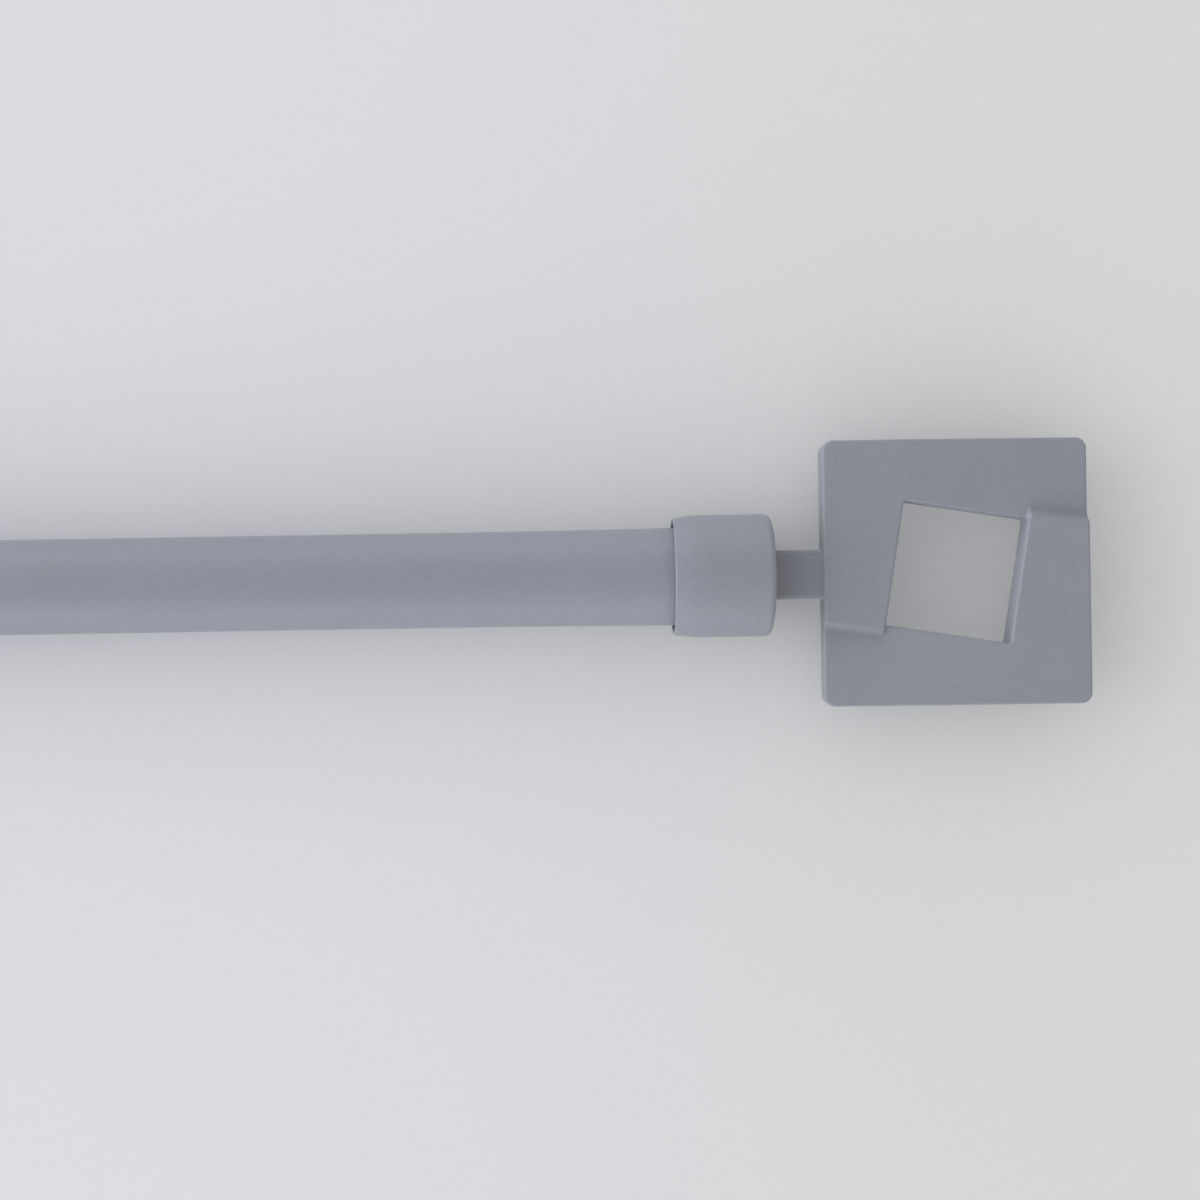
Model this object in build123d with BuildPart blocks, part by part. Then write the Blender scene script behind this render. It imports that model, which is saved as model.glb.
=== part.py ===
from build123d import *
import math
import os

os.makedirs("parts", exist_ok=True)

# An extendable curtain rod: two tubes, one sliding in the other, with a square finial on each end.
# Sizes are millimetres. X runs along the rod, Y up in the plane of the finials, and Z out of their
# patterned faces. The origin is on the rod's axis, half way between the outer edges of the finials.

# Tubes, rolled from thin steel strip
outer_tube_diameter = 19.0
outer_tube_wall = 0.7
outer_tube_length = 680.0
inner_tube_diameter = 16.0
inner_tube_wall = 0.7
inner_tube_length = 620.0
seam_width = 0.5
seam_depth = 0.2
tube_edge_chamfer = 0.15

# Each tube is spread a little towards its plugged end by the tapered plug that is driven into it.
# The length is the larger tube's. The smaller tube's flare ends inside its collar, clear of the bush.
flare_growth = 0.7
flare_length = 46.0

# How far the rod is pulled out, beyond its shortest length, as it is modelled
rest_pull = 120.0
closed_gap = 4.0

# Collar, a turned cup over the end of the tube
collar_diameter = 24.4
collar_length = 19.4
collar_bore_diameter = 22.0
collar_end_wall = 2.0
collar_end_round = 1.2
collar_crown_length = 6.4
collar_crown_drop = 0.48

# Liner, the plastic ring that centres the collar on its tube
liner_length = 10.0
liner_recess = 2.0
liner_chamfer = 0.3

# Finial, one casting: square plate, flat tang, round shoulder and threaded spigot
plate_side = 53.0
plate_thickness = 5.5
plate_corner_radius = 2.2
plate_edge_round = 0.4
hole_side = 25.0
hole_corner_radius = 0.6
hole_turn = 9.2
step_height = 1.6
step_crest_offset = 1.1
step_ramp_width = 1.3
tang_length = 10.5
tang_width = 9.8
tang_thickness = 3.6
tang_edge_round = 0.8
shoulder_thickness = 0.8
spigot_diameter = 6.0
spigot_chamfer = 0.8
spigot_reach_past_nut = 7.0

# Plug, the tapered ribbed plastic insert, with its trapped nut and washer
plug_length = 38.0
plug_flange_thickness = 1.5
plug_flange_inset = 0.25
plug_end_wall = 4.0
plug_core_wall = 0.9
plug_rib_count = 8
plug_rib_width = 1.8
plug_rib_start = 1.0
nut_across_flats = 10.0
nut_thickness = 5.0
washer_diameter = 12.0
washer_thickness = 1.6

# Bush in the mouth of the outer tube
bush_length = 20.0
bush_flange_thickness = 1.2
bush_flange_diameter = 18.8
bush_flange_round = 0.4

# Plug in the hidden end of the inner tube, which carries the friction ring
end_plug_length = 15.0
end_plug_bore = 9.0
end_plug_shoulder = 1.5
journal_diameter = 13.0
journal_length = 6.0
head_diameter = 15.8
head_thickness = 1.5
head_chamfer = 0.8
ring_slot_width = 1.5
ring_chamfer = 0.4

# Clearances, all radial unless they say otherwise
seat_gap = 0.02
slide_gap = 0.08
ring_gap = 0.05
ring_side_gap = 0.05
thread_gap = 0.05
stud_hole_gap = 0.3
liner_gap = 0.1
pocket_gap = 0.1

# Places along each end, worked out from its tube's edge
spigot_hole_radius = spigot_diameter / 2 + stud_hole_gap
washer_start = plug_flange_thickness
collar_floor = washer_start + washer_thickness
collar_face = collar_floor + collar_end_wall
collar_rim = collar_face - collar_length
nut_seat = plug_flange_thickness - plug_end_wall
nut_end = nut_seat - nut_thickness
spigot_tip = nut_end - spigot_reach_past_nut
plate_start = collar_face + tang_length
plate_centre = plate_start + plate_side / 2
inner_flare_length = -collar_rim

# Places along the rod. The two tube ends lie as far each side of the origin.
closed_span = outer_tube_length + bush_flange_thickness + closed_gap - collar_rim
tube_end = (closed_span + rest_pull) / 2
mouth = tube_end - outer_tube_length
inner_end = inner_tube_length - tube_end

# A frame at each end of a tube: its x points out of the tube and its z is the model's Z
right_frame = Plane(origin=(tube_end, 0, 0), x_dir=(1, 0, 0), z_dir=(0, 0, 1))
left_frame = Plane(origin=(-tube_end, 0, 0), x_dir=(-1, 0, 0), z_dir=(0, 0, 1))
mouth_frame = Plane(origin=(mouth, 0, 0), x_dir=(-1, 0, 0), z_dir=(0, 0, 1))
inner_end_frame = Plane(origin=(inner_end, 0, 0), x_dir=(1, 0, 0), z_dir=(0, 0, 1))


def section_of(frame):
    """Gives the plane of a turned piece's section: x out of the tube, y away from its axis."""
    return Plane(origin=frame.origin, x_dir=frame.x_dir, z_dir=-frame.y_dir)


def axis_of(frame):
    """Gives the rod's axis, pointing out of the tube end that the frame stands at."""
    return Axis(frame.origin, frame.x_dir)


def facing(frame, distance):
    """Gives the plane square to the rod at a distance out of the tube end, with Z as its y."""
    origin = frame.origin + frame.x_dir * distance
    return Plane(origin=origin, x_dir=frame.y_dir, z_dir=frame.x_dir)


# The tubes. Each has its butt seam along the underside, where the edges of the rolled strip meet.
outer_radius = outer_tube_diameter / 2
inner_radius = inner_tube_diameter / 2
spread = flare_growth / 2
tubes = [
    ("outer_tube", right_frame, outer_radius, outer_tube_wall, outer_tube_length, flare_length),
    ("inner_tube", left_frame, inner_radius, inner_tube_wall, inner_tube_length, inner_flare_length),
]
for tube_name, frame, radius, wall, length, spread_length in tubes:
    with BuildPart() as tube:
        with BuildSketch(section_of(frame)) as tube_wall:
            Polygon(
                (-length, radius - wall),
                (-spread_length, radius - wall),
                (0, radius - wall + spread),
                (0, radius + spread),
                (-spread_length, radius),
                (-length, radius),
                align=None,
            )
            chamfer(tube_wall.vertices().group_by(Axis.X)[0], tube_edge_chamfer)
        revolve(axis=axis_of(frame))
        with BuildSketch(facing(frame, 0)):
            with Locations((0, -radius - flare_growth)):
                Rectangle(seam_width, 2 * (flare_growth + seam_depth))
        extrude(amount=-length, mode=Mode.SUBTRACT)
    tube.part.label = tube_name
    export_step(tube.part, f"parts/{tube_name}.step")

# Bush in the outer tube's mouth: a sleeve inside the tube and a thin flange over its cut edge
bush_bore = inner_radius + slide_gap
bush_sleeve = outer_radius - outer_tube_wall - seat_gap
with BuildPart() as mouth_bush:
    with BuildSketch(section_of(mouth_frame)) as bush_section:
        Polygon(
            (-bush_length, bush_bore),
            (bush_flange_thickness, bush_bore),
            (bush_flange_thickness, bush_flange_diameter / 2),
            (0, bush_flange_diameter / 2),
            (0, bush_sleeve),
            (-bush_length, bush_sleeve),
            align=None,
        )
        flange_corner = bush_section.vertices().group_by(Axis.Z)[-1].sort_by(Axis.X)[0]
        fillet(flange_corner, bush_flange_round)
    revolve(axis=axis_of(mouth_frame))
mouth_bush.part.label = "mouth_bush"
export_step(mouth_bush.part, "parts/mouth_bush.step")

# Plug in the hidden end of the inner tube: a hollow spigot, a shoulder against the tube, a journal
# for the friction ring, and a head that keeps the ring on
end_spigot = inner_radius - inner_tube_wall - seat_gap
journal_end = end_plug_shoulder + journal_length
head_end = journal_end + head_thickness
with BuildPart() as inner_end_plug:
    with BuildSketch(section_of(inner_end_frame)) as end_plug_section:
        Polygon(
            (-end_plug_length, end_plug_bore / 2),
            (head_end, end_plug_bore / 2),
            (head_end, head_diameter / 2),
            (journal_end, head_diameter / 2),
            (journal_end, journal_diameter / 2),
            (end_plug_shoulder, journal_diameter / 2),
            (end_plug_shoulder, inner_radius),
            (0, inner_radius),
            (0, end_spigot),
            (-end_plug_length, end_spigot),
            align=None,
        )
        head_corner = end_plug_section.vertices().group_by(Axis.X)[-1].sort_by(Axis.Z)[-1]
        chamfer(head_corner, head_chamfer)
    revolve(axis=axis_of(inner_end_frame))
inner_end_plug.part.label = "inner_end_plug"
export_step(inner_end_plug.part, "parts/inner_end_plug.step")

# Split friction ring, sprung on to the plug's journal and just clear of the outer tube's bore
ring_bore = journal_diameter / 2 + ring_gap
ring_outside = outer_radius - outer_tube_wall - ring_gap
ring_length = journal_length - 2 * ring_side_gap
ring_start = end_plug_shoulder + ring_side_gap
with BuildPart() as friction_ring:
    with BuildSketch(section_of(inner_end_frame)) as ring_section:
        Polygon(
            (ring_start, ring_bore),
            (ring_start + ring_length, ring_bore),
            (ring_start + ring_length, ring_outside),
            (ring_start, ring_outside),
            align=None,
        )
        chamfer(ring_section.vertices().group_by(Axis.Z)[-1], ring_chamfer)
    revolve(axis=axis_of(inner_end_frame))
    with BuildSketch(facing(inner_end_frame, ring_start)):
        with Locations((0, (ring_bore + ring_outside) / 2)):
            Rectangle(ring_slot_width, 2 * (ring_outside - ring_bore))
    extrude(amount=ring_length, mode=Mode.SUBTRACT)
friction_ring.part.label = "friction_ring"
export_step(friction_ring.part, "parts/friction_ring.step")

# Collar section: its lip, its crown and the round at its end
collar_radius = collar_diameter / 2
collar_bore = collar_bore_diameter / 2
lip_top = collar_radius - collar_crown_drop
lip_radius = (lip_top - collar_bore) / 2
lip_end = collar_rim + lip_radius
crown_end = collar_rim + collar_crown_length
round_start = collar_face - collar_end_round

# Nut, and the hexagonal pocket that holds it in the plug
hexagon_sides = 6
hexagon_half_angle = math.pi / hexagon_sides
nut_half_flats = nut_across_flats / 2
nut_corner = nut_half_flats / math.cos(hexagon_half_angle)
nut_bevel = (nut_corner - nut_half_flats) * math.tan(hexagon_half_angle)
pocket_corner = (nut_half_flats + pocket_gap) / math.cos(hexagon_half_angle)
plug_core_radius = pocket_corner + plug_core_wall

# Relief of the finial: how fast a leaf falls away, and where its ramp to the next leaf begins
face_height = plate_thickness / 2
half_hole = hole_side / 2
leaf_slope = step_height / (half_hole + plate_side / 2)
ramp_start = half_hole + step_crest_offset
cut_reach = plate_side

# Both ends carry the same set of pieces. The left one is the right one turned half round about Z,
# so that both finials show their pattern to the same side.
ends = [
    ("right", right_frame, outer_radius, outer_tube_wall, flare_length),
    ("left", left_frame, inner_radius, inner_tube_wall, inner_flare_length),
]
for side, frame, radius, wall, spread_length in ends:
    section = section_of(frame)
    axis = axis_of(frame)
    spread_radius = radius + spread
    bore_radius = radius - wall

    # Collar: a round lip at the mouth, a long soft crown, straight sides and a rounded end
    with BuildPart() as collar:
        with BuildSketch(section) as collar_section:
            with BuildLine():
                Polyline(
                    (lip_end, collar_bore),
                    (collar_floor, collar_bore),
                    (collar_floor, spigot_hole_radius),
                    (collar_face, spigot_hole_radius),
                    (collar_face, collar_radius - collar_end_round),
                )
                RadiusArc(
                    (collar_face, collar_radius - collar_end_round),
                    (round_start, collar_radius),
                    -collar_end_round,
                )
                Line((round_start, collar_radius), (crown_end, collar_radius))
                TangentArc((crown_end, collar_radius), (lip_end, lip_top), tangent=(-1, 0))
                ThreePointArc(
                    (lip_end, lip_top),
                    (collar_rim, collar_bore + lip_radius),
                    (lip_end, collar_bore),
                )
            make_face()
        revolve(axis=axis)
    collar.part.label = f"{side}_collar"
    export_step(collar.part, f"parts/{side}_collar.step")

    # Liner, held in the collar's bore and just clear of the spread end of the tube
    liner_start = collar_rim + liner_recess
    liner_outside = collar_bore - seat_gap
    liner_bore = spread_radius + liner_gap
    with BuildPart() as liner:
        with BuildSketch(section) as liner_section:
            Polygon(
                (liner_start, liner_bore),
                (liner_start + liner_length, liner_bore),
                (liner_start + liner_length, liner_outside),
                (liner_start, liner_outside),
                align=None,
            )
            chamfer(liner_section.vertices(), liner_chamfer)
        revolve(axis=axis)
    liner.part.label = f"{side}_collar_liner"
    export_step(liner.part, f"parts/{side}_collar_liner.step")

    # Washer between the collar's end wall and the plug's flange
    with BuildPart() as washer:
        with BuildSketch(facing(frame, washer_start)):
            Circle(washer_diameter / 2)
            Circle(spigot_hole_radius, mode=Mode.SUBTRACT)
        extrude(amount=washer_thickness)
    washer.part.label = f"{side}_washer"
    export_step(washer.part, f"parts/{side}_washer.step")

    # Plug: a flange over the tube's edge and a ribbed body that follows the spread of the bore
    plug_radius = bore_radius - seat_gap
    plug_outline = [
        (-plug_length, 0),
        (plug_flange_thickness, 0),
        (plug_flange_thickness, spread_radius - plug_flange_inset),
        (0, spread_radius - plug_flange_inset),
        (0, plug_radius + spread),
    ]
    if spread_length < plug_length:
        plug_outline += [(-spread_length, plug_radius), (-plug_length, plug_radius)]
    else:
        plug_outline.append((-plug_length, plug_radius + spread * (1 - plug_length / spread_length)))
    rib_depth = plug_radius + spread - plug_core_radius
    slot_width = 2 * plug_core_radius * math.sin(math.pi / plug_rib_count) - plug_rib_width
    with BuildPart() as plug:
        with BuildSketch(section):
            Polygon(*plug_outline, align=None)
        revolve(axis=axis)
        with BuildSketch(facing(frame, -plug_rib_start)):
            with PolarLocations(plug_core_radius + rib_depth, plug_rib_count):
                Rectangle(2 * rib_depth, slot_width)
        extrude(amount=plug_rib_start - plug_length, mode=Mode.SUBTRACT)
        with BuildSketch(facing(frame, plug_flange_thickness)):
            Circle(spigot_hole_radius)
        extrude(amount=-plug_end_wall, mode=Mode.SUBTRACT)
        with BuildSketch(facing(frame, nut_seat)):
            RegularPolygon(pocket_corner, hexagon_sides)
        extrude(amount=-plug_length - nut_seat, mode=Mode.SUBTRACT)
    plug.part.label = f"{side}_plug"
    export_step(plug.part, f"parts/{side}_plug.step")

    # Hexagon nut against the plug's end wall, with its corners bevelled on both faces
    with BuildPart() as nut:
        with BuildSketch(facing(frame, nut_seat)):
            RegularPolygon(nut_corner, hexagon_sides)
            Circle(spigot_diameter / 2 + thread_gap, mode=Mode.SUBTRACT)
        extrude(amount=-nut_thickness)
        with BuildSketch(section):
            Polygon(
                (nut_seat, 0),
                (nut_seat, nut_half_flats),
                (nut_seat - nut_bevel, nut_corner),
                (nut_end + nut_bevel, nut_corner),
                (nut_end, nut_half_flats),
                (nut_end, 0),
                align=None,
            )
        revolve(axis=axis, mode=Mode.INTERSECT)
    nut.part.label = f"{side}_nut"
    export_step(nut.part, f"parts/{side}_nut.step")

    # Two cutters for the finial's relief. Each sinks one leaf of the plate: the leaf falls away
    # from its crease to the far edge, and a steep ramp at its end climbs to the next leaf.
    leaf_cutters = []
    for turn in (-hole_turn, 180 - hole_turn):
        window = Plane(frame.location * Location((plate_centre, 0, 0), (0, 0, turn)))
        along = Plane(origin=window.origin, x_dir=window.x_dir, z_dir=-window.y_dir)
        across = Plane(origin=window.origin, x_dir=window.y_dir, z_dir=window.x_dir)
        with BuildPart() as leaf_cutter:
            with BuildSketch(along):
                Polygon(
                    (-half_hole, face_height),
                    (cut_reach, face_height - leaf_slope * (half_hole + cut_reach)),
                    (cut_reach, cut_reach),
                    (-half_hole, cut_reach),
                    align=None,
                )
            extrude(amount=cut_reach, both=True)
            with BuildSketch(across):
                Polygon(
                    (ramp_start, face_height),
                    (ramp_start + 2 * step_ramp_width, face_height - 2 * step_height),
                    (cut_reach, face_height - 2 * step_height),
                    (cut_reach, cut_reach),
                    (ramp_start, cut_reach),
                    align=None,
                )
            extrude(amount=cut_reach, both=True, mode=Mode.INTERSECT)
            with BuildSketch(along):
                Polygon(
                    (-half_hole, face_height),
                    (half_hole, face_height - leaf_slope * hole_side),
                    (half_hole, cut_reach),
                    (-half_hole, cut_reach),
                    align=None,
                )
            extrude(amount=-cut_reach)
        leaf_cutters.append(leaf_cutter.part)

    # Finial: the plate with its window and relief, then the tang, the shoulder and the spigot
    window = Plane(frame.location * Location((plate_centre, 0, 0), (0, 0, -hole_turn)))
    with BuildPart() as finial:
        with BuildSketch(Plane(frame.location * Location((plate_centre, 0, 0)))):
            RectangleRounded(plate_side, plate_side, plate_corner_radius)
        extrude(amount=face_height, both=True)
        with BuildSketch(window):
            RectangleRounded(hole_side, hole_side, hole_corner_radius)
        extrude(amount=face_height, both=True, mode=Mode.SUBTRACT)
        add(leaf_cutters, mode=Mode.SUBTRACT)
        fillet(finial.edges().filter_by(Axis.Z, reverse=True), plate_edge_round)
        with BuildSketch(facing(frame, collar_face)):
            RectangleRounded(tang_width, tang_thickness, tang_edge_round)
        extrude(amount=tang_length)
        with BuildSketch(facing(frame, collar_face)):
            Circle(tang_width / 2)
        extrude(amount=shoulder_thickness)
        with BuildSketch(facing(frame, collar_face)):
            Circle(spigot_diameter / 2)
        extrude(amount=spigot_tip - collar_face)
        spigot_edge = finial.edges().filter_by(GeomType.CIRCLE).sort_by(axis)[0]
        chamfer(spigot_edge, spigot_chamfer)
    finial.part.label = f"{side}_finial_plate"
    export_step(finial.part, f"parts/{side}_finial_plate.step")
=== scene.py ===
"""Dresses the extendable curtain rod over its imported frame, and sets the studio that shows it.

X runs along the rod towards the end of the larger tube, Y lies across the flat of the finials and Z points
out of their patterned faces. Sizes in the classes are millimetres, and every mesh is in metres.
"""

import logging
import math
from collections.abc import Callable, Iterable, Iterator
from dataclasses import dataclass
from enum import Enum
from typing import ClassVar

import bmesh
import bpy
import numpy as np
from bpy.types import ID, Material, Mesh, Node, NodeSocket, NodeTree, Object
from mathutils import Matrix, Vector

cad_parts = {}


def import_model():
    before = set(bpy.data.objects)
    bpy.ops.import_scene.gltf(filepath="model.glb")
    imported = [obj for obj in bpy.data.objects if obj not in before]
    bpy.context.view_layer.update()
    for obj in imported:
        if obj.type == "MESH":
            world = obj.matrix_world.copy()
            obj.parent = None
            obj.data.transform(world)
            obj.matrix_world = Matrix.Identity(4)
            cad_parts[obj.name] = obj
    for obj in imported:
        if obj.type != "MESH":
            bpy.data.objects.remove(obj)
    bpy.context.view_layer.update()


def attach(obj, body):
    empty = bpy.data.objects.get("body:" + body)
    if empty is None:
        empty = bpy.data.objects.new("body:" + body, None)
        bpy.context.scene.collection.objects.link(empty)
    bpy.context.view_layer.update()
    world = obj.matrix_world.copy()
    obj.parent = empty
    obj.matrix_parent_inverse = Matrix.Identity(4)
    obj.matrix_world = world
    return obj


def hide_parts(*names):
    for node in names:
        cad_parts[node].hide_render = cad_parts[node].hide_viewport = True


LOG = logging.getLogger("curtain_rod")
MM = 0.001
SHARP_ANGLE = math.radians(38)
MERGE_DISTANCE = 2e-7
RIGHT_ANGLE = math.pi / 2
# Half the angle between two corners of a hexagon.
HALF_SIDE = math.radians(30)
# Where the groove of a seam starts and ends to rise, as shares of its width.
SEAM_RISE = (0.3, 0.62)
# The rows of points in one turn of a thread, and how steep its flanks and how wide its crests are.
THREAD_ROWS = 12
THREAD_FLANK = 1.6
THREAD_CREST = 0.3
# The range that most values of a noise fall in, and the one that only its specks reach.
NOISE_RANGE = (0.3, 0.7)
SPECK_RANGE = (0.79, 0.85)
# The least distance that anything is divided by.
TINY = 1e-9

ProfilePoint = tuple[float, float]
Colour = tuple[float, float, float]
Feed = NodeSocket | str | float | tuple[float, ...]
Loop = tuple[float, float | np.ndarray]
Outline = Callable[[float], np.ndarray]
Marker = Callable[[Mesh], None]


class Side(Enum):
    """The two ends of the rod. The value is the sign of X there."""

    RIGHT = 1
    LEFT = -1

    @property
    def word(self) -> str:
        """Gives the word that the names of this end's nodes begin with."""
        return self.name.lower()

    @property
    def tube(self) -> str:
        """Gives the name of this end's tube, which is its body's name too."""
        return "outer_tube" if self is Side.RIGHT else "inner_tube"


@dataclass(frozen=True)
class TubeSizes:
    """Driving sizes that differ from one tube to the other, in millimetres."""

    radius: float
    length: float
    spread_length: float


@dataclass(frozen=True)
class RodSizes:
    """Driving sizes that more than one piece shares, in millimetres."""

    tube_end: float = 409.75
    outer: TubeSizes = TubeSizes(radius=9.5, length=680.0, spread_length=46.0)
    inner: TubeSizes = TubeSizes(radius=8.0, length=620.0, spread_length=14.3)
    wall: float = 0.7
    spread: float = 0.35
    collar_rim: float = -14.3
    collar_floor: float = 3.1
    collar_face: float = 5.1
    stud_hole: float = 3.3
    spigot_radius: float = 3.0
    thread_pitch: float = 1.0
    thread_depth: float = 0.52
    seat_gap: float = 0.02

    def tube(self, side: Side) -> TubeSizes:
        """Gives the sizes of the tube that is plugged on one side."""
        return self.outer if side is Side.RIGHT else self.inner


class NodeSheet:
    """Writes one node tree: adds nodes, joins sockets and turns sums into math nodes."""

    ROW_LENGTH = 8
    SPACING = (180, -220)

    def __init__(self, tree: NodeTree) -> None:
        """Takes the tree that the nodes go into."""
        self.tree = tree
        self.count = 0

    def node(self, kind: str, feeds: dict[int | str, Feed] | None = None, **settings: object) -> Node:
        """Adds a node.

        Args:
            kind: The node's type name.
            feeds: A socket or a plain value for each input, by the input's name or number.
            settings: The node's settings, by attribute name.

        Returns:
            The new node.
        """
        made = self.tree.nodes.new(kind)
        row, column = divmod(self.count, self.ROW_LENGTH)
        made.location = (self.SPACING[0] * column, self.SPACING[1] * row)
        self.count += 1
        for name, value in settings.items():
            setattr(made, name, value)
        for key, value in (feeds or {}).items():
            self.feed(made.inputs[key], value)
        return made

    def feed(self, socket: NodeSocket, value: Feed) -> None:
        """Gives an input a value, or joins it to an output.

        Args:
            socket: The input.
            value: An output socket, or a plain value.
        """
        if isinstance(value, NodeSocket):
            self.tree.links.new(value, socket)
        else:
            socket.default_value = value

    def sum(self, operation: str, *terms: Feed) -> NodeSocket:
        """Adds a math node for up to three sockets or numbers, and gives the socket that holds the result."""
        return self.node("ShaderNodeMath", dict(enumerate(terms)), operation=operation).outputs[0]

    def ramp(self, value: Feed, low: Feed, high: Feed, start: Feed = 0.0, end: Feed = 1.0) -> NodeSocket:
        """Gives a socket that goes smoothly from start to end while the value goes from low to high."""
        feeds = {"Value": value, "From Min": low, "From Max": high, "To Min": start, "To Max": end}
        return self.node("ShaderNodeMapRange", feeds, interpolation_type="SMOOTHSTEP").outputs["Result"]

    def mix(self, share: Feed, low: Feed, high: Feed) -> NodeSocket:
        """Mixes two colours.

        Args:
            share: How much of the second colour shows.
            low: The first colour, as a socket or four numbers.
            high: The second colour.

        Returns:
            The socket that holds the mixed colour.
        """
        made = self.node("ShaderNodeMix", {"Factor": share}, data_type="RGBA", clamp_factor=True)
        ends = [socket for socket in made.inputs if socket.type == "RGBA"]
        self.feed(ends[0], low)
        self.feed(ends[1], high)
        return next(socket for socket in made.outputs if socket.type == "RGBA")


def open_sockets(tree: NodeTree, direction: str, kind: str, *names: str) -> None:
    """Declares sockets of one kind, such as Float, as INPUT or OUTPUT of a node group."""
    for name in names:
        tree.interface.new_socket(name=name, in_out=direction, socket_type=f"NodeSocket{kind}")


def finish_faces(mesh: Mesh) -> None:
    """Merges doubles, turns the faces outwards and shades them smooth up to the sharp angle.

    Args:
        mesh: The mesh to finish.
    """
    work = bmesh.new()
    work.from_mesh(mesh)
    bmesh.ops.remove_doubles(work, verts=work.verts, dist=MERGE_DISTANCE)
    bmesh.ops.recalc_face_normals(work, faces=work.faces)
    work.to_mesh(mesh)
    work.free()
    mesh.shade_smooth()
    mesh.set_sharp_from_angle(angle=SHARP_ANGLE)


def settle(piece: Object) -> None:
    """Turns a piece's live modifier into a plain mesh with smooth sides, outward faces and crisp corners.

    Args:
        piece: The object to finish.
    """
    graph = bpy.context.evaluated_depsgraph_get()
    plain = bpy.data.meshes.new_from_object(piece.evaluated_get(graph), depsgraph=graph)
    piece.modifiers.clear()
    rough, piece.data = piece.data, plain
    bpy.data.meshes.remove(rough)
    finish_faces(plain)


def mesh_points(mesh: Mesh) -> np.ndarray:
    """Reads a mesh's points, in millimetres, as rows of 3 values."""
    return np.array([point.co for point in mesh.vertices]) / MM


def add_object(name: str, data: ID) -> Object:
    """Adds an object to the scene.

    Args:
        name: The object's name.
        data: Its mesh, lamp or camera.

    Returns:
        The new object.
    """
    made = bpy.data.objects.new(name, data)
    bpy.context.scene.collection.objects.link(made)
    return made


def add_piece(name: str, mesh: Mesh, material: Material) -> Object:
    """Adds a mesh in the rod's frame to the scene, as a piece with one material."""
    mesh.materials.append(material)
    return add_object(name, mesh)


def skin(name: str, rows: np.ndarray, capped: bool = False) -> Mesh:
    """Skins a stack of closed loops that all have the same number of points.

    Args:
        name: The mesh's name.
        rows: The points, as rows by columns by 3, in metres.
        capped: Whether the first and last rows are filled with a face each, and don't join as on a ring.

    Returns:
        The finished mesh.
    """
    count, columns = rows.shape[:2]
    index = np.arange(count * columns).reshape(count, columns)
    upper = index[:-1] if capped else index
    lower = np.roll(index, -1, axis=0)[: len(upper)]
    quads = np.stack([upper, np.roll(upper, -1, 1), np.roll(lower, -1, 1), lower], axis=-1).reshape(-1, 4)
    faces = quads.tolist()
    if capped:
        faces += [index[0].tolist(), index[-1][::-1].tolist()]
    mesh = bpy.data.meshes.new(name)
    mesh.from_pydata(rows.reshape(-1, 3).tolist(), [], faces)
    finish_faces(mesh)
    return mesh


def arc(centre: ProfilePoint, radius: float, start: float, end: float, steps: int) -> list[ProfilePoint]:
    """Gives points on an arc of a profile, from one angle in degrees to another, in a number of steps."""
    angles = np.radians(np.linspace(start, end, steps + 1))
    return [(centre[0] + radius * math.cos(turn), centre[1] + radius * math.sin(turn)) for turn in angles]


def bevelled(start: float, end: float, inside: float, outside: float, cut: float) -> list[ProfilePoint]:
    """Draws the section of a plain ring from start to end along X, with a cut off each of its corners."""
    near = [(start, inside + cut), (start, outside - cut), (start + cut, outside), (end - cut, outside)]
    return near + [(end, outside - cut), (end, inside + cut), (end - cut, inside), (start + cut, inside)]


def ring(x: float | np.ndarray, radius: float | np.ndarray, angles: np.ndarray) -> np.ndarray:
    """Gives the points of a loop round the axis, at angles from Y towards Z."""
    return np.stack(np.broadcast_arrays(x, radius * np.cos(angles), radius * np.sin(angles)), axis=-1)


def hexagon(half_flats: float, angles: np.ndarray) -> np.ndarray:
    """Gives the radius of a hexagon at each angle, with a corner at angle 0."""
    return half_flats / np.cos(angles % (2 * HALF_SIDE) - HALF_SIDE)


def soft_greatest(first: np.ndarray, second: np.ndarray, soft: float) -> np.ndarray:
    """Gives the greater of two heights with a soft change from one to the other."""
    return 0.5 * (first + second + np.sqrt((first - second) ** 2 + soft**2))


def soft_least(first: np.ndarray, second: np.ndarray, soft: float) -> np.ndarray:
    """Gives the smaller of two heights with a soft change from one to the other."""
    return -soft_greatest(-first, -second, soft)


def smooth_step(value: np.ndarray, low: float, high: float) -> np.ndarray:
    """Gives 0 below low, 1 above high, and a smooth climb between them."""
    share = np.clip((value - low) / (high - low), 0.0, 1.0)
    return share * share * (3 - 2 * share)


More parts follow.
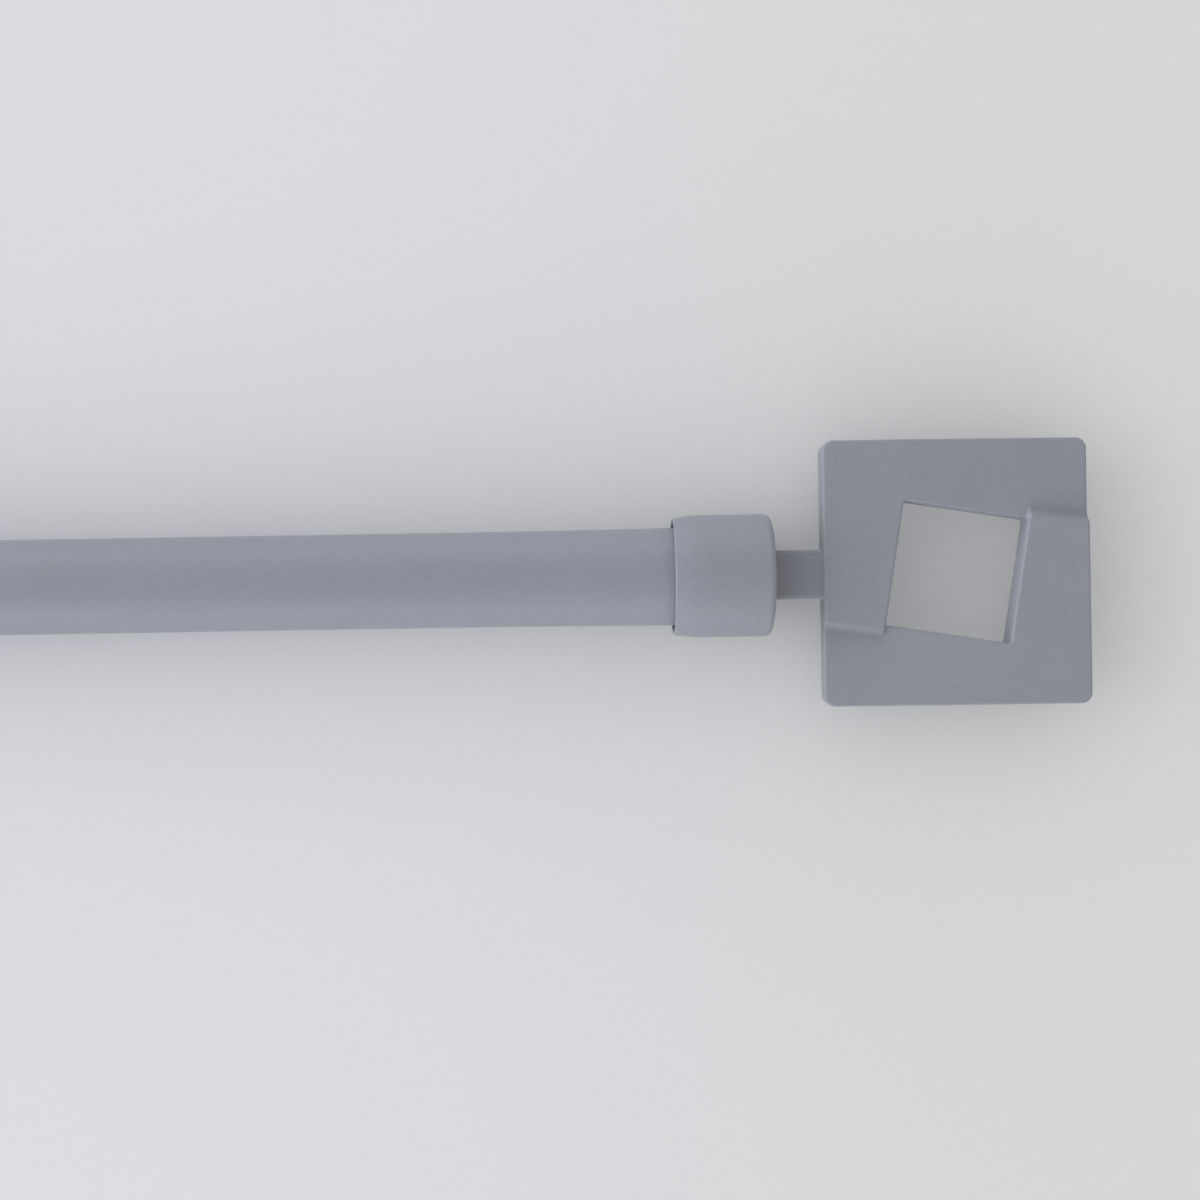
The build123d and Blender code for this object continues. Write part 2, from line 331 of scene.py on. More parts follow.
class Lathe:
    """Turns closed profiles about the rod's axis in Geometry Nodes, with an optional seam or thread."""

    MARK = "marked"
    LENGTHS = {"Seam Width": 1.0, "Seam Depth": 0.0, "Thread Pitch": 1.0, "Thread Depth": 0.0}
    # The first column lies underneath, and a thread is counted from Y, this part of a turn further round.
    FIRST_COLUMN = 0.25

    def __init__(self) -> None:
        """Builds the tree once for all turned pieces."""
        self.tree = bpy.data.node_groups.new("turned_piece", "GeometryNodeTree")
        self.tree.is_modifier = True
        open_sockets(self.tree, "INPUT", "Geometry", "Geometry")
        open_sockets(self.tree, "INPUT", "Int", "Points", "Segments")
        open_sockets(self.tree, "INPUT", "Float", "Focus", *self.LENGTHS)
        open_sockets(self.tree, "INPUT", "Material", "Material")
        open_sockets(self.tree, "OUTPUT", "Geometry", "Geometry")
        self._write()

    def _write(self) -> None:
        """Writes the tree: a grid whose rows are the profile's points and whose columns go round the axis."""
        sheet = NodeSheet(self.tree)
        given = sheet.node("NodeGroupInput").outputs
        rows, columns = sheet.sum("ADD", given["Points"], 1), sheet.sum("ADD", given["Segments"], 1)
        grid = sheet.node("GeometryNodeMeshGrid", {"Vertices X": rows, "Vertices Y": columns})
        index = sheet.node("GeometryNodeInputIndex").outputs[0]
        # The half keeps a point in its row where the division comes out a little low.
        row = sheet.sum("FLOOR", sheet.sum("DIVIDE", sheet.sum("ADD", index, 0.5), columns))
        column = sheet.sum("SUBTRACT", index, sheet.sum("MULTIPLY", row, columns))
        point = sheet.sum("MODULO", row, given["Points"])

        def sampled(kind: str, value: NodeSocket) -> NodeSocket:
            """Reads a value of the profile at this row's point."""
            feeds = {"Geometry": given["Geometry"], "Value": value, "Index": point}
            return sheet.node("GeometryNodeSampleIndex", feeds, data_type=kind).outputs[0]

        place = sampled("FLOAT_VECTOR", sheet.node("GeometryNodeInputPosition").outputs[0])
        corner = sheet.node("ShaderNodeSeparateXYZ", {0: place}).outputs
        named = sheet.node("GeometryNodeInputNamedAttribute", {"Name": self.MARK}, data_type="FLOAT")
        mark = sampled("FLOAT", named.outputs["Attribute"])
        along, radius = corner["X"], corner["Z"]
        turn = sheet.sum("MULTIPLY", sheet.sum("DIVIDE", column, given["Segments"]), math.tau)
        angle = sheet.sum("SUBTRACT", turn, sheet.sum("MULTIPLY", sheet.sum("SINE", turn), given["Focus"]))
        from_seam = sheet.sum("MINIMUM", angle, sheet.sum("SUBTRACT", math.tau, angle))
        rise = [sheet.sum("MULTIPLY", given["Seam Width"], share) for share in SEAM_RISE]
        groove = sheet.ramp(sheet.sum("MULTIPLY", from_seam, radius), *rise, given["Seam Depth"], 0.0)
        turns = sheet.sum("SUBTRACT", sheet.sum("DIVIDE", angle, math.tau), self.FIRST_COLUMN)
        pitches = sheet.sum("DIVIDE", along, given["Thread Pitch"])
        phase = sheet.sum("FRACT", sheet.sum("SUBTRACT", pitches, turns))
        flank = sheet.sum("ABSOLUTE", sheet.sum("SUBTRACT", sheet.sum("MULTIPLY", phase, 2.0), 1.0))
        root = sheet.sum("MULTIPLY_ADD", flank, THREAD_FLANK, -THREAD_CREST)
        root.node.use_clamp = True
        cut = sheet.sum("ADD", groove, sheet.sum("MULTIPLY", root, given["Thread Depth"]))
        reach = sheet.sum("SUBTRACT", radius, sheet.sum("MULTIPLY", cut, mark))
        across = sheet.sum("MULTIPLY", reach, sheet.sum("SINE", angle))
        up = sheet.sum("MULTIPLY", reach, sheet.sum("MULTIPLY", sheet.sum("COSINE", angle), -1.0))
        position = sheet.node("ShaderNodeCombineXYZ", {"X": along, "Y": across, "Z": up}).outputs[0]
        made = grid.outputs["Mesh"]
        for kind, feeds in (
            ("SetPosition", {"Position": position}),
            ("MergeByDistance", {"Distance": MERGE_DISTANCE}),
            ("RealizeInstances", {}),
            ("SetMaterial", {"Material": given["Material"]}),
        ):
            made = sheet.node(f"GeometryNode{kind}", {0: made} | feeds).outputs[0]
        sheet.node("NodeGroupOutput", {0: made})

    def turn(
        self,
        name: str,
        profile: list[ProfilePoint],
        material: Material,
        segments: int = 144,
        marks: list[float] | None = None,
        focus: float = 0.0,
        **cuts: float,
    ) -> Object:
        """Turns a closed profile into a piece.

        Args:
            name: The piece's name.
            profile: The closed profile as x and radius, in millimetres, without its first point repeated.
            material: The piece's material.
            segments: How many columns go round.
            marks: For each point, how much of the seam's or the thread's depth is cut there, from 0 to 1.
            focus: How much closer together the columns lie near the seam, from 0 to 1.
            cuts: The tree's other lengths in millimetres, such as seam_width for its Seam Width.

        Returns:
            The finished object.
        """
        outline = bpy.data.meshes.new(name)
        outline.from_pydata([(x * MM, 0.0, radius * MM) for x, radius in profile], [], [])
        mark = outline.attributes.new(self.MARK, "FLOAT", "POINT")
        mark.data.foreach_set("value", marks or [0.0] * len(profile))
        piece = add_piece(name, outline, material)
        modifier = piece.modifiers.new("turned", "NODES")
        modifier.node_group = self.tree
        values = {"Points": len(profile), "Segments": segments, "Focus": focus, "Material": material}
        for length, usual in self.LENGTHS.items():
            values[length] = cuts.get(length.lower().replace(" ", "_"), usual) * MM
        for item in self.tree.interface.items_tree:
            if item.in_out == "INPUT" and item.name in values:
                modifier[item.identifier] = values[item.name]
        settle(piece)
        return piece


class Spray:
    """A shader group for a sprayed or moulded surface: a fine skin, a slow drift of tone and a few specks."""

    # The scale of the drift against that of the clouds, and how rough the grain's noise is.
    DRIFT_SCALE = 0.27
    GRAIN_ROUGHNESS = 0.55
    # How much the clouds count against the drift in the tone, and both of them against the grain.
    CLOUD_SHARE = 0.55
    SLOW_SHARE = 0.35
    # How much the specks take from the tone and add to the height, and the drift's share in the sheen.
    SPECK_TONE = 0.35
    SPECK_HEIGHT = 0.6
    SHEEN_SHARE = 0.6

    def __init__(self) -> None:
        """Builds the group once for all finishes."""
        self.tree = bpy.data.node_groups.new("sprayed_skin", "ShaderNodeTree")
        open_sockets(self.tree, "INPUT", "Vector", "Vector")
        open_sockets(self.tree, "INPUT", "Float", "Grain", "Cloud", "Speck")
        open_sockets(self.tree, "OUTPUT", "Float", "Tone", "Height", "Sheen")
        self._write()

    def _write(self) -> None:
        """Writes the noises and joins them to the outputs."""
        sheet = NodeSheet(self.tree)
        given = sheet.node("NodeGroupInput").outputs

        def noise(scale: NodeSocket, detail: float, roughness: float = 0.5) -> NodeSocket:
            """Adds a noise and gives its value."""
            feeds = {"Vector": given["Vector"], "Scale": scale, "Detail": detail, "Roughness": roughness}
            return sheet.node("ShaderNodeTexNoise", feeds).outputs[0]

        def blend(first: NodeSocket, second: NodeSocket, share: float) -> NodeSocket:
            """Adds a share of one value to the rest of another."""
            rest = sheet.sum("MULTIPLY", second, 1 - share)
            return sheet.sum("MULTIPLY_ADD", first, share, rest)

        grain = noise(given["Grain"], detail=2.0, roughness=self.GRAIN_ROUGHNESS)
        cloud = noise(given["Cloud"], detail=3.0)
        drift = noise(sheet.sum("MULTIPLY", given["Cloud"], self.DRIFT_SCALE), detail=2.0)
        specks = sheet.ramp(noise(given["Speck"], detail=0.0), *SPECK_RANGE)
        fine = blend(blend(cloud, drift, self.CLOUD_SHARE), grain, self.SLOW_SHARE)
        feeds = {
            "Tone": sheet.sum("MULTIPLY_ADD", specks, -self.SPECK_TONE, fine),
            "Height": sheet.sum("MULTIPLY_ADD", specks, self.SPECK_HEIGHT, grain),
            "Sheen": blend(drift, grain, self.SHEEN_SHARE),
        }
        sheet.node("NodeGroupOutput", feeds)


@dataclass(frozen=True)
class Finish:
    """The look of one surface: its colour, its gloss and how its skin varies.

    Lengths are millimetres. A far colour takes over along X from drift_from to drift_to, and with both_ways
    also towards the rod's left end. The painted crease shade darkens the colour where the mesh's crease
    attribute marks it: painted shade at the foot of the relief's steps.
    """

    slot: str
    colour: Colour
    roughness: float
    roughness_drift: float = 0.05
    metallic: float = 0.0
    tone_drift: float = 0.05
    grain_size: float = 0.6
    grain_height: float = 0.004
    cloud_size: float = 14.0
    speck_size: float = 1.6
    far_colour: Colour | None = None
    drift_from: float = 0.0
    drift_to: float = 0.0
    both_ways: bool = True
    painted_crease_shade: float = 0.0
    # The mesh attribute that holds the painted crease shade.
    CREASE: ClassVar[str] = "crease"

    def _shade(self, colour: Colour, sign: int) -> tuple[float, float, float, float]:
        """Gives the lighter or darker end of a colour's drift of tone."""
        return (*(min(1.0, part * (1 + sign * self.tone_drift / 2)) for part in colour), 1.0)

    def material(self, spray: Spray) -> Material:
        """Builds the material.

        Args:
            spray: The shared shader group.

        Returns:
            A material that reads Object coordinates and the crease attribute only.
        """
        made = bpy.data.materials.new(self.slot)
        made.use_nodes = True
        made.diffuse_color = (*self.colour, 1.0)
        made.node_tree.nodes.clear()
        sheet = NodeSheet(made.node_tree)
        place = sheet.node("ShaderNodeTexCoord").outputs["Object"]
        sizes = {"Grain": self.grain_size, "Cloud": self.cloud_size, "Speck": self.speck_size}
        feeds = {"Vector": place} | {name: 1 / (size * MM) for name, size in sizes.items()}
        skin_group = sheet.node("ShaderNodeGroup", feeds, node_tree=spray.tree).outputs
        blend = sheet.ramp(skin_group["Tone"], *NOISE_RANGE)
        tone = sheet.mix(blend, self._shade(self.colour, -1), self._shade(self.colour, 1))
        if self.far_colour:
            far = sheet.mix(blend, self._shade(self.far_colour, -1), self._shade(self.far_colour, 1))
            along = sheet.node("ShaderNodeSeparateXYZ", {0: place}).outputs["X"]
            out = sheet.sum("ABSOLUTE", along) if self.both_ways else along
            tone = sheet.mix(sheet.ramp(out, self.drift_from * MM, self.drift_to * MM), tone, far)
        # Painted shade: the colour darkens where the crease attribute marks the foot of a step.
        if self.painted_crease_shade:
            crease = sheet.node("ShaderNodeAttribute", attribute_name=self.CREASE)
            dark = (*(part * (1 - self.painted_crease_shade) for part in self.colour), 1.0)
            tone = sheet.mix(crease.outputs["Fac"], tone, dark)
        feeds = {"Strength": 1.0, "Distance": self.grain_height * MM, "Height": skin_group["Height"]}
        bump = sheet.node("ShaderNodeBump", feeds)
        limits = (self.roughness - self.roughness_drift, self.roughness + self.roughness_drift)
        feeds = {
            "Base Color": tone,
            "Roughness": sheet.ramp(skin_group["Sheen"], *NOISE_RANGE, *limits),
            "Metallic": self.metallic,
            "Normal": bump.outputs["Normal"],
        }
        shader = sheet.node("ShaderNodeBsdfPrincipled", feeds)
        sheet.node("ShaderNodeOutputMaterial", {"Surface": shader.outputs[0]})
        return made


class Surface(Enum):
    """The rod's finishes, by the record's material slots."""

    TUBE_PAINT = Finish("tube_paint", (0.255, 0.277, 0.323), 0.5, tone_drift=0.1, grain_size=0.7)
    COLLAR_PAINT = Finish("collar_paint", (0.25, 0.27, 0.313), 0.5, tone_drift=0.1, grain_size=0.7)
    # The finial's paint, with painted shade in the creases at the foot of its relief's steps.
    FINIAL_PAINT = Finish(
        "finial_paint", (0.25, 0.27, 0.311), 0.52, tone_drift=0.1, grain_height=0.006, painted_crease_shade=0.22
    )
    # A darker copy of the finial's paint: painted shade on the tang, which lies between the collar and the
    # plate. Its colour also drifts from browner near the collar to bluer towards the plate.
    TANG_PAINT = Finish(
        "finial_paint",
        (0.24, 0.247, 0.265),
        0.55,
        grain_height=0.006,
        far_colour=(0.232, 0.244, 0.28),
        drift_from=416.0,
        drift_to=421.0,
    )
    GREY_NYLON = Finish("grey_nylon", (0.24, 0.26, 0.3), 0.6, grain_size=0.25, grain_height=0.003)
    BLACK_NYLON = Finish("black_nylon", (0.03, 0.03, 0.032), 0.55, grain_size=0.25, grain_height=0.003)
    WHITE_NYLON = Finish("white_nylon", (0.72, 0.71, 0.66), 0.5, grain_size=0.25, grain_height=0.003)
    ZINC_PLATE = Finish(
        "zinc_plate", (0.6, 0.6, 0.58), 0.34, 0.08, metallic=1.0, tone_drift=0.12, grain_size=0.3
    )


@dataclass
class Workshop:
    """What every sub-assembly needs: the shared sizes, the lathe and the materials."""

    sizes: RodSizes
    lathe: Lathe
    materials: dict[Surface, Material]


@dataclass(frozen=True)
class Role:
    """A piece's name and finish, the body that it moves with and the frame's node that it stands for."""

    name: str
    surface: Surface
    body: str
    node: str


@dataclass
class Assembly:
    """A sub-assembly that is drawn from one place on the rod's axis, with its own x out of the tube."""

    shop: Workshop
    side: Side

    @property
    def sizes(self) -> RodSizes:
        """Gives the shared sizes."""
        return self.shop.sizes

    @property
    def start(self) -> float:
        """Gives the place on the axis that x is measured from: the plugged end of this side's tube."""
        return self.sizes.tube_end * self.side.value

    def place(self, points: np.ndarray) -> np.ndarray:
        """Moves points into the rod's frame, turned about Z to this side, and gives them in metres."""
        turned = points * np.array([self.side.value, self.side.value, 1.0])
        return (turned + np.array([self.start, 0.0, 0.0])) * MM

    def hand_over(self, piece: Object, role: Role) -> None:
        """Makes a finished piece ride on its body and stand for its node.

        Args:
            piece: The finished object.
            role: Its role.
        """
        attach(piece, role.body)
        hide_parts(role.node)
        LOG.info("%s rides on %s with %d faces", piece.name, role.body, len(piece.data.polygons))

    def turn(self, role: Role, profile: list[ProfilePoint], **options: object) -> None:
        """Turns a profile into a piece and hands it over.

        Args:
            role: The piece's role.
            profile: The closed profile, measured from this place.
            options: The lathe's options.
        """
        piece = self.shop.lathe.turn(role.name, profile, self.shop.materials[role.surface], **options)
        piece.data.vertices.foreach_set("co", self.place(mesh_points(piece.data)).ravel())
        piece.data.update()
        self.hand_over(piece, role)

    def skin(self, role: Role, rows: np.ndarray, capped: bool = False, mark: Marker | None = None) -> None:
        """Skins a stack of loops into a piece and hands it over.

        Args:
            role: The piece's role.
            rows: The loops, measured from this place.
            capped: Whether the first and last loops are filled.
            mark: What writes attributes on the mesh, if anything does.
        """
        mesh = skin(role.name, self.place(rows), capped)
        if mark:
            mark(mesh)
        self.hand_over(add_piece(role.name, mesh, self.shop.materials[role.surface]), role)


@dataclass
class RolledTube(Assembly):
    """A tube rolled from steel strip, spread at its plugged end, with its butt seam underneath."""

    seam_width: float = 0.5
    seam_depth: float = 0.2
    edge_chamfer: float = 0.15
    edge_round: float = 0.12
    seam_focus: float = 0.9
    segments: int = 288
    stretch_step: float = 40.0
    spread_points: int = 13

    def along(self, radius: float) -> list[ProfilePoint]:
        """Draws one face of the wall, from the spread end to a little before the mouth.

        Args:
            radius: The face's radius on the straight stretch.

        Returns:
            The points of the face.
        """
        tube, step = self.sizes.tube(self.side), self.stretch_step
        bell = tube.spread_length
        bends = np.linspace(0.0, -bell, self.spread_points)
        spread = [(x, radius + self.sizes.spread * (1 + x / bell)) for x in bends]
        return spread + [(x, radius) for x in np.arange(-bell - step, step / 2 - tube.length, -step)]

    def profile(self) -> tuple[list[ProfilePoint], list[float]]:
        """Draws the section of the wall.

        Returns:
            The closed profile, and 1 for each point on the outside, where the seam is.
        """
        sizes, cut, tube = self.sizes, self.edge_chamfer, self.sizes.tube(self.side)
        radius, bore, mouth = tube.radius, tube.radius - sizes.wall, -tube.length
        outside = [(-self.edge_round, radius + sizes.spread), *self.along(radius)[1:]]
        outside += [(mouth + cut, radius), (mouth, radius - cut)]
        inside = [(mouth, bore + cut), (mouth + cut, bore), *self.along(bore)[::-1]]
        inside.append((0.0, bore + sizes.spread + sizes.wall - self.edge_round))
        return outside + inside, [1.0] * len(outside) + [0.0] * len(inside)

    def build(self) -> None:
        """Turns the tube and hands it over."""
        tube = self.side.tube
        profile, marks = self.profile()
        role = Role(f"{tube}_painted", Surface.TUBE_PAINT, tube, tube)
        seam = {"seam_width": self.seam_width, "seam_depth": self.seam_depth, "focus": self.seam_focus}
        self.turn(role, profile, segments=self.segments, marks=marks, **seam)


@dataclass
class Collar(Assembly):
    """The turned cup that covers the end of a tube, with the plastic liner that centres it."""

    radius: float = 12.2
    bore: float = 11.0
    end_round: float = 1.2
    crown_length: float = 6.4
    crown_drop: float = 0.48
    hole_break: float = 0.25
    lip_steps: int = 12
    crown_steps: int = 16
    end_steps: int = 10
    hole_steps: int = 4
    liner_length: float = 10.0
    liner_recess: float = 2.0
    liner_chamfer: float = 0.3
    liner_gap: float = 0.1
    segments: int = 192

    def cup_profile(self) -> list[ProfilePoint]:
        """Draws the section of the cup.

        Returns:
            The closed profile, from the bore over the lip and the crown to the hole in the end wall.
        """
        sizes, hole, bend, broken = self.sizes, self.sizes.stud_hole, self.end_round, self.hole_break
        lip = (self.radius - self.crown_drop - self.bore) / 2
        lip_end = sizes.collar_rim + lip
        crown_end = sizes.collar_rim + self.crown_length
        crown = crown_end - lip_end
        sweep = (crown**2 + self.crown_drop**2) / (2 * self.crown_drop)
        half = math.degrees(math.asin(crown / sweep))
        profile = arc((lip_end, self.bore + lip), lip, 270, 90, self.lip_steps)
        profile += arc((crown_end, self.radius - sweep), sweep, 90 + half, 90, self.crown_steps)[1:]
        profile += arc((sizes.collar_face - bend, self.radius - bend), bend, 90, 0, self.end_steps)
        profile += arc((sizes.collar_face - broken, hole + broken), broken, 0, -90, self.hole_steps)
        return [*profile, (sizes.collar_floor, hole), (sizes.collar_floor, self.bore)]

    def build(self) -> None:
        """Turns the cup and its liner and hands them over."""
        sizes, body = self.sizes, f"{self.side.word}_collar"
        cup = Role(f"{body}_cup", Surface.COLLAR_PAINT, body, body)
        self.turn(cup, self.cup_profile(), segments=self.segments)
        start, outside = sizes.collar_rim + self.liner_recess, self.bore - sizes.seat_gap
        inside = sizes.tube(self.side).radius + sizes.spread + self.liner_gap
        liner = bevelled(start, start + self.liner_length, inside, outside, self.liner_chamfer)
        self.turn(Role(f"{body}_lining", Surface.BLACK_NYLON, body, f"{body}_liner"), liner)


@dataclass
class Finial(Assembly):
    """One casting: the square plate with its turned window and pinwheel relief, the tang and the spigot."""

    plate_side: float = 53.0
    thickness: float = 5.5
    corner: float = 2.2
    edge_round: float = 0.5
    window_side: float = 25.0
    window_corner: float = 0.6
    window_turn: float = 9.2
    step_height: float = 1.6
    crest_offset: float = 1.1
    ramp_width: float = 1.3
    crest_soft: float = 0.24
    foot_soft: float = 0.45
    crease_soft: float = 1.2
    # How far the painted shade fades out over the low leaf.
    painted_shade_fade: float = 1.9
    crease_reach: float = 0.6
    wall_blend: tuple[float, float] = (-0.35, 0.45)
    leaf_margin: float = 2.0
    side_blend: float = 0.4
    tang_length: float = 10.5
    tang_width: float = 9.8
    tang_thickness: float = 3.6
    tang_round: float = 0.8
    tang_columns: int = 96
    tang_ray: float = 1.6
    root_fillet: float = 0.45
    root_rows: int = 6
    root_depth: float = 0.8
    shoulder: float = 0.8
    shoulder_break: float = 0.2
    shoulder_fillet: float = 0.4
    shoulder_rows: int = 7
    shoulder_clear: float = 0.02
    pole: float = 0.1
    spigot_tip: float = -14.5
    spigot_chamfer: float = 0.8
    spigot_pole: float = 0.02
    spigot_depth: float = 0.3
    thread_start: float = 3.0
    thread_lead: float = 0.4
    thread_least: float = 0.02
    per_side: int = 190
    corner_steps: int = 16
    rings: int = 60
    ring_bias: float = 1.35
    round_steps: int = 5
    spigot_segments: int = 48

    @property
    def centre(self) -> float:
        """Gives how far out of the tube the plate's centre lies."""
        return self.sizes.collar_face + self.tang_length + self.plate_side / 2

    @property
    def leaf_slope(self) -> float:
        """Gives how much a leaf drops for each millimetre from its crease."""
        return self.step_height / (self.window_side / 2 + self.plate_side / 2)

    def square(self, side: float, corner: float, turn: float = 0.0) -> np.ndarray:
        """Draws a rounded square about the plate's centre.

        Args:
            side: Its side.
            corner: Its corner radius.
            turn: How far it is turned, in degrees, anticlockwise.

        Returns:
            Its points, from the lower right corner anticlockwise, with the same count for every square.
        """
        reach = side / 2 - corner
        points = []
        for quarter in range(4):
            start = math.radians(90 * quarter - 90)
            sweep = start + np.linspace(0.0, RIGHT_ANGLE, self.corner_steps + 1)
            middle = start + math.pi / 4
            centre = math.sqrt(2) * reach * np.array([math.cos(middle), math.sin(middle)])
            bend = centre + corner * np.stack([np.cos(sweep), np.sin(sweep)], axis=-1)
            ahead = start + RIGHT_ANGLE
            way = np.array([-math.sin(ahead), math.cos(ahead)])
            run = bend[-1] + np.linspace(0.0, 2 * reach, self.per_side + 1)[1:-1, None] * way
            points += [bend, run]
        angle = math.radians(turn)
        spin = np.array([[math.cos(angle), math.sin(angle)], [-math.sin(angle), math.cos(angle)]])
        return np.concatenate(points) @ spin

    def leaves(self, plan: np.ndarray) -> Iterator[tuple[np.ndarray, np.ndarray]]:
        """Gives how far each point lies along and across each of the relief's two low leaves.

        Args:
            plan: Points in the plate's plane, as x and y from its centre.

        Yields:
            The distances along a leaf and across it, from the plate's centre.
        """
        for turn in (-self.window_turn, 180 - self.window_turn):
            cosine, sine = math.cos(math.radians(turn)), math.sin(math.radians(turn))
            x, y = plan[..., 0], plan[..., 1]
            yield x * cosine + y * sine, y * cosine - x * sine

    def height(self, plan: np.ndarray) -> np.ndarray:
        """Gives the height of the patterned face.

        Args:
            plan: Points in the plate's plane, as x and y from its centre.

        Returns:
            The height above the plate's middle plane at each point.
        """
        face, half = self.thickness / 2, self.window_side / 2
        soft, blend = self.crease_soft, self.crease_reach
        result = np.full(plan.shape[:-1], face)
        for along, across in self.leaves(plan):
            past = along + half
            # Away from the crease, the soft change leaves nearly what is taken off here.
            fall = soft_greatest(past, np.zeros_like(past), soft) - soft**2 / 4 / (abs(past) + 1)
            floor = face - self.leaf_slope * np.maximum(fall, 0.0)
            climb = face - self.step_height * (across - half - self.crest_offset) / self.ramp_width
            step = soft_greatest(floor, climb, self.foot_soft)
            leaf = soft_least(np.full_like(past, face), step, self.crest_soft)
            beside = np.where(across > 0, smooth_step(along - half, *self.wall_blend), 1.0)
            leaf = floor + beside * (leaf - floor)
            before = smooth_step(past, -blend, blend)
            leaf = np.where(across > half - self.leaf_margin, face + before * (leaf - face), face)
            result = np.minimum(result, leaf)
        return result

    def crease(self, plan: np.ndarray) -> np.ndarray:
        """Gives the painted shade at the foot of each step, from how deep in a crease a point of the face
        lies.

        Args:
            plan: Points in the plate's plane, as x and y from its centre.

        Returns:
            For each point, 1 at the foot of a step, fading to 0 up its ramp and over the low leaf.
        """
        half, ramp, blend = self.window_side / 2, self.ramp_width, self.crease_reach
        result = np.zeros(plan.shape[:-1])
        for along, across in self.leaves(plan):
            drop = self.leaf_slope * np.maximum(along + half, 0.0)
            past = across - half - self.crest_offset - ramp * drop / self.step_height
            fade = np.where(past > 0, np.exp(-past / self.painted_shade_fade), smooth_step(past, -ramp, 0.0))
            beside = smooth_step(along - half, -blend, blend)
            result = np.maximum(result, fade * beside * smooth_step(drop, 0.0, self.step_height))
        return result

    def mark_painted_shade(self, mesh: Mesh) -> None:
        """Writes the painted shade at each point of the casting's face into the crease attribute of its mesh.

        Args:
            mesh: The casting's mesh, in the rod's frame.
        """
        points = mesh_points(mesh)
        out = (points[:, :2] - np.array([self.start, 0.0])) * self.side.value
        value = self.crease(out - np.array([self.centre, 0.0]))
        value *= smooth_step(points[:, 2], -self.side_blend, self.side_blend)
        mark = mesh.attributes.new(Finish.CREASE, "FLOAT", "POINT")
        mark.data.foreach_set("value", value)

    def plate_rows(self) -> np.ndarray:
        """Stacks the plate's loops, over the face, round the rim, under the back and up through the window.

        Returns:
            The loops, about the plate's centre.
        """
        rim, back = self.edge_round, -self.thickness / 2
        rows: list[np.ndarray] = []

        def outer(inset: float) -> np.ndarray:
            """Draws the plate's outline, moved inwards."""
            return self.square(self.plate_side - 2 * inset, self.corner - inset)

        def inner(outset: float) -> np.ndarray:
            """Draws the window's outline, moved outwards."""
            side = self.window_side + 2 * outset
            return self.square(side, self.window_corner + outset, -self.window_turn)

        def edge(outline: Outline, bends: Iterable[float], level: np.ndarray, way: int) -> None:
            """Adds a rounded edge.

            Args:
                outline: Draws the edge's outline at an inset.
                bends: The angles of its bend, a loop for each.
                level: The height that it leaves, at each point.
                way: 1 if it leaves that upwards, and -1 if downwards.
            """
            for bend in bends:
                drop = rim * (1 - math.cos(bend))
                rows.append(np.column_stack([outline(rim * (1 - math.sin(bend))), level + way * drop]))

        inner_edge, outer_edge = inner(rim), outer(rim)
        for share in np.linspace(0.0, 1.0, self.rings + 1) ** self.ring_bias:
            plan = inner_edge + share * (outer_edge - inner_edge)
            rows.append(np.column_stack([plan, self.height(plan)]))
        flat = np.full(len(inner_edge), back)
        bends = np.radians(np.linspace(0.0, 90.0, self.round_steps + 1))[1:]
        edge(outer, bends, self.height(outer_edge), -1)
        edge(outer, [*bends[::-1], 0.0], flat, 1)
        edge(inner, [0.0, *bends], flat, 1)
        edge(inner, bends[::-1], self.height(inner_edge), -1)
        return np.stack(rows)

    def tang_rows(self) -> np.ndarray:
        """Stacks the tang's loops, from the round shoulder at the collar to its root inside the plate.

        Returns:
            The loops, from the spigot's root outwards.
        """
        angles = np.arange(self.tang_columns) * math.tau / self.tang_columns
        disc = self.tang_width / 2
        circle = np.stack([np.cos(angles), np.sin(angles)], axis=-1)

        def slab(grow: np.ndarray) -> np.ndarray:
            """Draws the tang's rounded oblong.

            Args:
                grow: How much half of it grows along Y and along Z.

            Returns:
                Its points, as Y and Z.
            """
            half = np.array([self.tang_width / 2, self.tang_thickness / 2]) + grow
            reach, rays = half - self.tang_round, circle * self.tang_ray * half.max()
            share = np.clip(rays, -reach, reach)
            away = rays - share
            length = np.linalg.norm(away, axis=-1, keepdims=True)
            return share + self.tang_round * away / np.maximum(length, TINY)

        def inside(loop: np.ndarray, reach: float) -> np.ndarray:
            """Draws a loop's points that lie beyond a reach in to that reach."""
            away = np.linalg.norm(loop, axis=-1, keepdims=True)
            return loop * np.minimum(1.0, reach / np.maximum(away, TINY))

        start, end = self.sizes.collar_face, self.sizes.collar_face + self.tang_length
        face, edge = start + self.shoulder, self.shoulder_break
        rims = [(start, self.pole), (start, disc - edge), (start + edge, disc)]
        rims += [(face - edge, disc), (face, disc - edge)]
        rows = [(x, circle * radius) for x, radius in rims]
        for share in np.linspace(0.0, 1.0, self.shoulder_rows):
            bend = self.shoulder_fillet * (1 - math.sqrt(share * (2 - share)))
            loop = inside(slab(np.array([0.0, bend])), disc - edge - self.shoulder_clear + 2 * edge * share)
            rows.append((face + self.shoulder_fillet * share, loop))
        for share in np.linspace(0.0, 1.0, self.root_rows):
            rows.append((end - self.root_fillet * (1 - share), slab(np.full(2, self.root_fillet * share**2))))
        rows.append((end + self.root_depth, slab(np.full(2, self.root_fillet))))
        return np.stack([np.column_stack([np.full(len(loop), x), loop]) for x, loop in rows])

